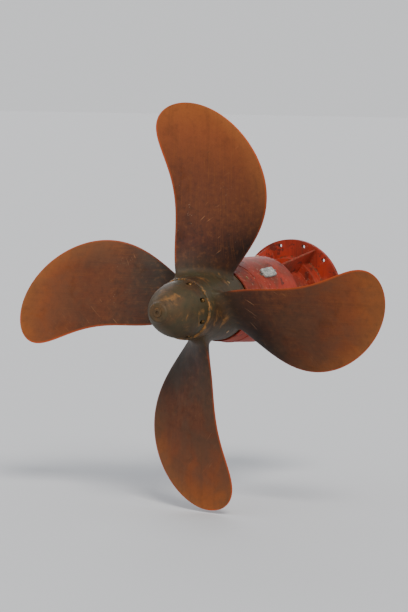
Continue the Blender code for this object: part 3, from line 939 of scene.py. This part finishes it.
# A ring of holes through a flange whose front is at the origin, chamfered at both ends
def drilled(obj, size, back):
    radius, chamfer = size.holeRadius, size.holeChamfer
    wide = radius + 2 * chamfer
    points = [
        (0, -chamfer),
        (wide, -chamfer),
        (radius, chamfer),
        (radius, back - chamfer),
        (wide, back + chamfer),
        (0, back + chamfer),
    ]
    mesh = turnMesh("hole", [(*point, 1.0) for point in points], closed=False, segments=32)
    place = (size.holes, size.holeCircle, 0.0, pi / size.holes)
    return cutAway(obj, ringOf("holes", newPiece("hole", mesh), *place))


boltSizes = {  # as shares of the width across flats
    "washer": 1.18,
    "washerThick": 0.14,
    "headThick": 0.62,
    "chamfer": 0.13,
    "stud": 0.3,
    "studOut": 0.35,
}
boltSides = {"washer": 20, "head": 6, "stud": 12}
boltTurns = {"aft": 0.0, "forward": pi, "out": pi / 2}


# A hexagon head or nut on a washer, standing on the origin
def boltItem(flats, facing="aft", stud=False):
    size = Values(**{key: share * flats for key, share in boltSizes.items()})
    seat, chamfer = size.washerThick, size.chamfer
    top = seat + size.headThick
    rounds = [
        ("washer", size.washer / sqrt(3), 0.0, seat, 0.0),
        ("head", flats / sqrt(3), seat, top, chamfer),
    ]
    if stud:
        rounds.append(("stud", size.stud, top, top + size.studOut, chamfer / 2))
    shape = bmesh.new()
    for part, radius, low, high, cut in rounds:
        outline = [(0, low), (radius, low), (radius, high - cut / 2), (radius - cut, high), (0, high)]
        if not cut:
            del outline[3]
        points = [(*point, 1.0) for point in outline]
        shape.from_mesh(turnMesh("bolt", points, closed=False, segments=boltSides[part]))
    turn = Matrix.Rotation(boltTurns[facing], 3, "Z")
    bmesh.ops.rotate(shape, verts=shape.verts, matrix=turn)
    return newPiece("bolt", endShape(shape, "bolt"))


def bolts(name, count, circle, aft, flats, body, slot, finish, firstAngle=0.0, **more):
    ring = ringOf(name, boltItem(flats, **more), count, circle, aft, firstAngle, finish)
    finishPiece(ring, body)


bevelAbove = 40  # degrees: only an edge that turns more is bevelled


# Grows the shape's one face into a block with bevelled edges
def thicken(shape, move, bevel):
    grown = bmesh.ops.extrude_face_region(shape, geom=shape.faces[:])["geom"]
    verts = [part for part in grown if isinstance(part, bmesh.types.BMVert)]
    bmesh.ops.translate(shape, verts=verts, vec=move)
    bmesh.ops.recalc_face_normals(shape, faces=shape.faces)
    if bevel:
        sharp = [edge for edge in shape.edges if edge.calc_face_angle() > radians(bevelAbove)]
        bmesh.ops.bevel(shape, geom=sharp, offset=bevel, segments=2, profile=0.5, affect="EDGES")


# A closed block: the outline's (y, z) points between x = low and x = high
def slab(outline, low, high, bevel=0.0):
    shape = bmesh.new()
    shape.faces.new([shape.verts.new((low, y, z)) for y, z in outline])
    thicken(shape, (high - low, 0, 0), bevel)
    return newPiece("slab", endShape(shape, "slab"))


# Points on an arc, angles in degrees
def arc(centre, radius, start, end, steps=5):
    turns = [radians(start + (end - start) * step / steps) for step in range(steps + 1)]
    return [(centre[0] + radius * cos(turn), centre[1] + radius * sin(turn)) for turn in turns]


def polygon(corner, sides=6):
    return arc((0, 0), corner, 0, 360, sides)[:-1]


capSizes = {
    "stations": 22,
    "noseRadius": 0.15,
    "noseEdge": 0.035,
    "fullness": 2.1,
    "rimEdge": 0.010,
    "wall": 0.035,
    "thickRim": 0.345,  # inner radius where the bolts pass
    "thickRimLength": 0.20,
    "thickRimSlope": 0.02,
    "plugBore": 0.0453,
    "plugBoreEdge": 0.004,
    "bolts": 8,
    "boltCircle": 0.391,
    "boltFlats": 0.042,
    "pocketFront": 0.060,
    "pocketBack": 0.150,
    "pocketHalf": 0.034,
    "pocketFloor": 0.359,
    "pocketOut": 0.1,  # the cutter's reach outside the bolt circle
}


def makeHubCap():
    size = Values(**capSizes)
    rim, front, back = reach("hub_cap")
    nose, noseEdge, wall = size.noseRadius, size.noseEdge, size.wall
    thickBack = front + size.thickRimLength
    shell = []
    for station in range(1, size.stations + 1):
        share = station / size.stations
        radius = nose + (rim - nose) * (1 - share**size.fullness)
        shell.append((radius, front + (back - front - noseEdge) * share))
    inner = [(radius - wall, aft) for radius, aft in shell[-2::-1] if aft > thickBack]
    end = arc((nose - noseEdge, back - noseEdge), noseEdge, 15, 90)
    corners = [(rim, front, size.rimEdge)]
    corners += [(radius, aft, 0) for radius, aft in shell + end]
    corners += [(size.plugBore, back, size.plugBoreEdge), (size.plugBore, back - 2 * wall, 0)]
    corners += [(radius, aft, 0) for radius, aft in inner]
    corners += [(size.thickRim, thickBack - size.thickRimSlope, 0), (size.thickRim, front, 0)]
    cap = turnedPiece("hubCap", corners, segments=192)

    half = size.pocketHalf
    outline = [(-size.pocketFront, half), (-size.pocketFront, -half)]
    outline += arc((-size.pocketBack, 0), half, -90, -270, steps=10)
    pocket = slab(outline, size.pocketFloor - size.boltCircle, size.pocketOut)
    first = pi / size.bolts
    cutAway(cap, ringOf("pockets", pocket, size.bolts, size.boltCircle, front, first))
    finishPiece(cap, "shaft_line", bronze, "hub_cap")
    place = (size.bolts, size.boltCircle, front + size.pocketFront, size.boltFlats)
    bolts("hubCapBolts", *place, "shaft_line", "propeller_bronze", sealBronze, first)


plugSizes = {
    "edge": 0.004,
    "seatEdge": 0.001,
    "thread": 0.045,
    "socketFlats": 0.052,
    "socketDepth": 0.014,
}


def makeCapPlug():
    size = Values(**plugSizes)
    radius, front, back = reach("cap_plug")
    seat = reach("hub_cap")[2] + clearance
    corners = [
        (0, front, 0),
        (size.thread, front, 0),
        (size.thread, seat, 0),
        (radius, seat, size.seatEdge),
        (radius, back, size.edge),
        (0, back, 0),
    ]
    plug = turnedPiece("capPlug", corners, closed=False, segments=64)
    hexagon = polygon(size.socketFlats / sqrt(3))
    cutter = slab(hexagon, back - size.socketDepth, back + overcut)
    cutter.data.transform(Matrix.Rotation(-pi / 2, 4, "Z"))  # from +X to aft
    finishPiece(cutAway(plug, cutter), "shaft_line", bronze, "cap_plug")


shaftSizes = {
    "radius": 0.26,
    "couplingBack": 0.12,
    "fillet": 0.05,
    "edge": 0.004,
    "fineEdge": 0.001,
    "taperEnd": 3.76,
    "taperEndRadius": 0.224,
    "thread": 0.19,
    "threadEdge": 0.015,
    "centreHole": 0.016,
    "centreHoleDepth": 0.0208,
    "register": (0.10, 0.25, 0.004),  # a shallow recess in the coupling face: radii and depth
    "holes": 8,
    "holeRadius": 0.038,
    "holeChamfer": 0.003,
    "holeCircle": 0.36,
}


def makeTailShaft():
    size = Values(**shaftSizes)
    coupling, _, end = reach("tail_shaft")
    inner, outer, depth = size.register
    corners = [
        (0, size.centreHoleDepth, 0),
        (size.centreHole, 0, size.fineEdge),
        (inner, 0, size.fineEdge),
        (inner, depth, 0),
        (outer, depth, 0),
        (outer, 0, size.fineEdge),
        (coupling, 0, size.edge),
        (coupling, size.couplingBack, size.edge),
        (size.radius, size.couplingBack, size.fillet),
        (size.radius, hubFront, 0),
        (size.taperEndRadius, size.taperEnd, 0),
        (size.thread, size.taperEnd, 0),
        (size.thread, end, size.threadEdge),
        (0, end, 0),
    ]
    shaft = drilled(turnedPiece("tailShaft", corners, closed=False), size, size.couplingBack)
    finishPiece(shaft, "shaft_line", turnedSteel, "tail_shaft")


linerSizes = {
    "radius": 0.30,
    "bore": 0.2603,
    "flange": 0.035,
    "edge": 0.003,
    "bolts": 12,
    "boltCircle": 0.352,
    "boltFlats": 0.03,
}


def makeSealLiner():
    size = Values(**linerSizes)
    outer, front, back = reach("seal_liner")
    step = back - size.flange
    corners = [
        (size.radius, front, size.edge),
        (size.radius, step, size.edge),
        (outer, step, size.edge),
        (outer, back, size.edge),
        (size.bore, back, 0),
        (size.bore, front, 0),
    ]
    liner = turnedPiece("sealLiner", corners)
    finishPiece(liner, "shaft_line", linerSteel, "seal_liner")
    place = (size.bolts, size.boltCircle, step, size.boltFlats)
    bolts("linerBolts", *place, "shaft_line", "forged_steel", boltSteel, facing="forward")


flangeSizes = {
    "thick": 0.07,
    "recess": 0.50,
    "recessDepth": 0.26,
    "neck": 0.56,
    "edge": 0.005,
    "fillet": 0.022,
    "holes": 12,
    "holeRadius": 0.028,
    "holeChamfer": 0.0025,
    "holeCircle": 0.76,
}


def makeMountingFlange():
    size = Values(**flangeSizes)
    outer, _, back = reach("mounting_flange")
    tube = reach("stern_tube")[0] + clearance
    corners = [
        (size.recess, 0, size.edge),
        (outer, 0, size.edge),
        (outer, size.thick, size.edge),
        (size.neck, size.thick, size.fillet),
        (size.neck, back, size.edge),
        (tube, back, 0),
        (tube, size.recessDepth, 0),
        (size.recess, size.recessDepth, size.fillet),
    ]
    flange = drilled(turnedPiece("mountingFlange", corners, segments=180), size, size.thick)
    finishPiece(flange, "stern_gear", flangePaint, "mounting_flange")


tubeSizes = {"wall": 0.08, "edge": 0.003}


def makeSternTube():
    outer, front, back = reach("stern_tube")
    corners = ringCorners(outer, outer - tubeSizes["wall"], front, back, tubeSizes["edge"])
    tube = turnedPiece("sternTube", corners)
    finishPiece(tube, "stern_gear", hullPaint, "stern_tube")


ribSizes = {
    "count": 6,
    "scallop": 0.032,  # radius of the notch at each welded corner
    "bevel": 0.003,
    "land": 0.03,  # straight part at the flange's rim
    "wornEdge": 0.012,
    "underBoss": 0.055,  # its end on the boss, from the boss's widest radius inwards
}


# (radius, aft) points round one rib
def ribOutline():
    size, cut = Values(**ribSizes), ribSizes["scallop"]
    low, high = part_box("rib_1")
    front, back = -high.y, -low.y
    neck, foot = flangeSizes["neck"] + clearance, reach("stern_tube")[0] + clearance
    neckBack = reach("mounting_flange")[2] + clearance
    points = arc((neck, front), cut, 90, 0)
    points += [(high.x, front), (high.x, front + size.land)]
    points += [(reach("stern_boss")[0] - size.underBoss, back)]
    points += arc((foot, back), cut, 0, -90)
    points += arc((foot, neckBack), cut, 90, 0)
    return points + [(neck, neckBack)]


# A rib whose bevelled edges are worn in a band
def ribMesh(name, outline, thick):
    shape = bmesh.new()
    wear = shape.verts.layers.float.new("edgeWear")
    shape.faces.new([shape.verts.new((radius, -aft, -thick / 2)) for radius, aft in outline])
    thicken(shape, (0, 0, thick), ribSizes["bevel"])
    for vert in shape.verts:
        vert[wear] = 1.0
    # the two flat sides, without the bevel's small faces
    sides = [face for face in shape.faces if abs(face.normal.z) > 0.99 and len(face.verts) > 8]
    inset = {"thickness": ribSizes["wornEdge"], "use_even_offset": True}
    bmesh.ops.inset_region(shape, faces=sides, **inset)
    for face in sides:
        for vert in face.verts:
            vert[wear] = 0.0
    return endShape(shape, name)


def makeRibs():
    low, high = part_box("rib_1")
    outline, count = ribOutline(), ribSizes["count"]
    for index in range(count):
        name = f"rib{index + 1}"
        mesh = ribMesh(name, outline, high.z - low.z)
        mesh.transform(Matrix.Rotation(2 * pi * index / count, 4, "Y"))
        rib = smoothed(newPiece(name, mesh))
        finishPiece(rib, "stern_gear", hullPaint, f"rib_{index + 1}")


bossSizes = {
    "frontRadius": 0.605,
    "shoulder": (0.6365, 0.045, 0.05),  # radius, place aft of the front face, rounding
    "widest": (0.45, 1.2),  # place aft of the front face, rounding
    "backRadius": 0.59,
    "edge": 0.006,
}


def bossOutline():
    size = Values(**bossSizes)
    widest, front, back = reach("stern_boss")
    shoulder, shoulderAft, shoulderRound = size.shoulder
    widestAft, widestRound = size.widest
    return [
        (size.frontRadius, front, size.edge),
        (shoulder, front + shoulderAft, shoulderRound),
        (widest, front + widestAft, widestRound),
        (size.backRadius, back, size.edge),
    ]


def makeSternBoss():
    _, front, back = reach("stern_boss")
    bore = reach("stern_tube")[0] + clearance
    corners = bossOutline() + [(bore, back, 0), (bore, front, 0)]
    boss = turnedPiece("sternBoss", corners, segments=180)
    finishPiece(boss, "stern_gear", hullPaint, "stern_boss")


guardSizes = {"wall": 0.025, "backRadius": 0.552, "edge": 0.004, "seam": 0.0009}


def makeRopeGuard():
    size = Values(**guardSizes)
    _, front, back = reach("rope_guard_upper")
    wide, narrow = bossSizes["backRadius"], size.backRadius
    corners = [
        (wide, front, 0),
        (narrow, back, size.edge),
        (narrow - size.wall, back, size.edge),
        (wide - size.wall, front, 0),
    ]
    seam = size.seam / narrow
    for half, start in (("Upper", 0), ("Lower", pi)):
        sweep = (start + seam, start + pi - seam)
        guard = turnedPiece("ropeGuard" + half, corners, segments=90, sweep=sweep)
        finishPiece(guard, "stern_gear", hullPaint, "rope_guard_" + half.lower())


sealSizes = {"edge": 0.003, "boltInset": 0.026}
sealRings = {  # CAD node: piece, bore, bolts, width across their flats, side they face
    "seal_flange_ring": ("sealFlangeRing", 0.3004, 16, 0.030, "aft"),
    "seal_middle_ring": ("sealMiddleRing", 0.3004, 0, 0, "aft"),
    "seal_cover_ring": ("sealCoverRing", 0.3004, 12, 0.024, "aft"),
    "forward_seal_housing": ("forwardSealHousing", 0.2604, 12, 0.024, "forward"),
}


def makeSeals():
    for node, (name, bore, count, flats, facing) in sealRings.items():
        outer, front, back = reach(node)
        ring = turnedPiece(name, ringCorners(outer, bore, front, back, sealSizes["edge"]))
        finishPiece(ring, "stern_gear", sealBronze, node)
        if count:
            face = back if facing == "aft" else front
            place = (count, outer - sealSizes["boltInset"], face, flats)
            bolts(name + "Bolts", *place, "stern_gear", "seal_bronze", boltSteel, facing=facing)


anodeSizes = {
    "count": 4,
    "arc": radians(14.6),
    "narrowing": 0.1,  # from foot to top
    "cuts": 14,
    "squareness": 9,  # how square the block's corners are
    "wasting": 0.006,
    "wastedFrom": 0.05,  # share of the height
    "lumps": ((9, 14, 4, 1.0), (30, 46, 3, 0.5)),  # scale round and along, octaves, share
    "lumpsApart": 5,  # times a block's angle, so that each block has a pattern of its own
    "smoothness": 0.6,
    "octaveStep": 2.0,
    "height": 0.042,
    "strapWide": 0.05,
    "strapLong": 0.075,
    "strapThick": 0.009,
    "strapSunk": 0.006,
    "strapBevel": 0.002,
    "strapUnder": 0.02,  # its end, inside the block's end
    "nutOut": 0.03,  # beyond the block's end
    "nutFlats": 0.03,
}


def bossRadiusAt(outline, aft):
    for (radius, start, _), (after, end, _) in zip(outline, outline[1:]):
        if start <= aft <= end:
            return radius + (after - radius) * (aft - start) / (end - start)
    return outline[-1][0]


# The CAD anode whose middle lies at this angle
def anodeNodeAt(angle):
    wanted = Vector((cos(angle), sin(angle)))

    def closeness(number):
        low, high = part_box(f"anode_{number}")
        return wanted.dot(Vector(((low.x + high.x) / 2, (low.z + high.z) / 2)))

    return f"anode_{max(range(1, anodeSizes['count'] + 1), key=closeness)}"


# A zinc block on the boss, with rounded corners and a wasted, lumpy surface
def anodeMesh(name, angle, front, back, outline):
    size = Values(**anodeSizes)
    pattern = angle * size.lumpsApart
    shape = bmesh.new()
    bmesh.ops.create_cube(shape, size=2.0)
    bmesh.ops.subdivide_edges(shape, edges=shape.edges[:], cuts=size.cuts, use_grid_fill=True)
    power = size.squareness
    for vert in shape.verts:
        across, along, up = vert.co / sum(abs(part) ** power for part in vert.co) ** (1 / power)
        aft = (front + back) / 2 + along * (back - front) / 2
        share = (up + 1) / 2
        turn = angle + across * size.arc / 2 * (1 - size.narrowing * share)
        rise = share * size.height
        if share > size.wastedFrom:
            waste = 0
            for around, lengthwise, octaves, part in size.lumps:
                spot = Vector((turn * around, aft * lengthwise, share + pattern))
                waste += part * noise.fractal(spot, size.smoothness, size.octaveStep, octaves)
            rise += size.wasting * (waste - 0.5) * share
        radius = bossRadiusAt(outline, aft) + min(max(rise, 2 * clearance), size.height)
        vert.co = (radius * cos(turn), -aft, radius * sin(turn))
    shape.normal_update()
    bmesh.ops.recalc_face_normals(shape, faces=shape.faces)
    return endShape(shape, name)


def makeAnodes():
    size, count = Values(**anodeSizes), anodeSizes["count"]
    outline = bossOutline()
    low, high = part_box("anode_1")
    front, back = -high.y, -low.y
    first = pi / count
    for index in range(count):
        angle = first + 2 * pi * index / count
        name = f"anode{index + 1}"
        block = newPiece(name, anodeMesh(name, angle, front, back, outline))
        smoothed(block, degrees=50)
        finishPiece(block, "stern_gear", zinc, anodeNodeAt(angle))
    half = size.strapWide / 2
    for end, aft, along in (("Front", front, 1), ("Back", back, -1)):
        long = along * size.strapLong
        corners = [(0, -half), (long, -half), (long, half), (0, half)]
        strap = slab(corners, -size.strapSunk, size.strapThick, size.strapBevel)
        circle = bossRadiusAt(outline, aft - long / 2)
        place = (count, circle, aft + along * size.strapUnder, first)
        straps = ringOf("anodeStraps" + end, strap, *place, boltSteel)
        finishPiece(smoothed(straps), "stern_gear")
        place = (count, circle + size.strapThick, aft - along * size.nutOut, size.nutFlats)
        nuts = ("anodeNuts" + end, *place, "stern_gear", "zinc", boltSteel, first)
        bolts(*nuts, facing="out", stud=True)


plugRings = {  # piece: count, distance aft, radius there, plug radius, first angle, body, slot
    "hubPlugs": (4, 3.02, 0.512, 0.026, pi / 4, "shaft_line", "propeller_bronze"),
    "guardPlugs": (4, 2.48, 0.571, 0.022, pi / 4, "stern_gear", "seal_bronze"),
    "bossPlugs": (2, 1.30, 0.641, 0.030, pi / 2, "stern_gear", "seal_bronze"),
}
plugShape = {
    "sides": 40,
    "deep": 0.02,
    "proud": 0.007,
    "chamfer": 0.0025,
    "socket": 0.5,
    "socketDepth": 0.008,
}


# Screwed plugs with a hexagon socket, facing outwards
def makePlugs():
    size = Values(**plugShape)
    top = size.proud
    for name, (count, aft, circle, radius, first, body, slot) in plugRings.items():
        plug = slab(polygon(radius, size.sides), -size.deep, top, size.chamfer)
        socket = slab(polygon(radius * size.socket), top - size.socketDepth, top + overcut)
        plug = cutAway(plug, socket)
        ring = ringOf(name, plug, count, circle, aft, first, sealBronze)
        finishPiece(smoothed(ring), body)


beadSizes = {
    "ring": 0.011,
    "rib": 0.008,
    "seam": 0.005,
    "ringSteps": 180,
    "ringOff": 0.003,  # a ring bead's middle, from the two surfaces that it joins
    "ribOff": 0.002,
    "guardSunk": 0.004,  # the ring bead's middle at the rope guard, under its surface,
    "seamSunk": 0.003,  # and the seams'
    "short": 0.004,  # a rib's bead ends this far before the rib
    "neckShort": 0.01,
    "seamShort": 0.006,
}


# A mesh of edges only: each path is a list of points, and a closed one repeats its first
def pathPiece(name, paths):
    mesh = bpy.data.meshes.new(name)
    points, edges = [], []
    for path in paths:
        closed = path[0] == path[-1]
        first = len(points)
        kept = path[:-1] if closed else path
        points += kept
        last = len(points) - 1
        edges += [(place, place + 1) for place in range(first, last)]
        if closed:
            edges.append((last, first))
    mesh.from_pydata(points, edges, [])
    return newPiece(name, mesh)


def ringPath(radius, aft):
    steps = beadSizes["ringSteps"]
    turns = [2 * pi * (step % steps) / steps for step in range(steps + 1)]
    return [(radius * cos(turn), -aft, radius * sin(turn)) for turn in turns]


# The beads on both sides of each rib: at the flange, the neck, the tube and the boss
def ribPaths(tube, neckBack, bossFront):
    size, rib = Values(**beadSizes), Values(**ribSizes)
    low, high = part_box("rib_1")
    off, cut, count = size.ribOff, rib.scallop, rib.count
    neck, front = flangeSizes["neck"], flangeSizes["thick"]
    bossEnd = reach("stern_boss")[0] - rib.underBoss
    stretches = [
        ((neck + cut, front + off), (high.x - size.short, front + off)),
        ((neck + off, front + cut), (neck + off, neckBack - size.neckShort)),
        ((tube + off, neckBack + cut), (tube + off, bossFront - cut)),
        ((tube + cut, bossFront - off), (bossEnd - size.short, bossFront - off)),
    ]
    half = (high.z - low.z) / 2 + off
    paths = []
    for turn in [Matrix.Rotation(2 * pi * index / count, 3, "Y") for index in range(count)]:
        for side in (half, -half):
            for stretch in stretches:
                paths.append([tuple(turn @ Vector((radius, -aft, side))) for radius, aft in stretch])
    return paths


def makeWelds():
    size = Values(**beadSizes)
    tube = reach("stern_tube")[0]
    neckBack = reach("mounting_flange")[2]
    bossFront = reach("stern_boss")[1]
    _, guardFront, guardBack = reach("rope_guard_upper")
    wide, narrow = bossSizes["backRadius"], guardSizes["backRadius"]
    rings = [
        ringPath(tube + size.ringOff, neckBack + size.ringOff),
        ringPath(tube + size.ringOff, bossFront - size.ringOff),
        ringPath(wide - size.guardSunk, guardFront),
    ]
    seams = []
    for side in (1, -1):
        start = (side * (wide - size.seamSunk), -guardFront, 0)
        end = (side * (narrow - size.seamSunk), size.seamShort - guardBack, 0)
        seams.append([start, end])
    for name, paths, bead in (
        ("ringWelds", rings, size.ring),
        ("guardSeamWelds", seams, size.seam),
        ("ribWelds", ribPaths(tube, neckBack, bossFront), size.rib),
    ):
        weld = runTree(pathPiece(name, paths), beadTree, {"bead": bead, "finish": hullPaint})
        finishPiece(weld, "stern_gear")


makeHubCap()
makeCapPlug()
makeTailShaft()
makeSealLiner()
print("cap, shaft and liner: done")
makeMountingFlange()
makeSternTube()
makeRibs()
makeSternBoss()
makeRopeGuard()
makeSeals()
makeAnodes()
makePlugs()
makeWelds()
print("stern gear: done")

# CAD nodes that keep their shape
keptNodes = {"propeller_nut": bronze, "aft_bush": whiteMetal, "forward_bush": whiteMetal}
for name, material in keptNodes.items():
    finishes = frame["nodes"][name].data.materials
    finishes.clear()
    finishes.append(material)
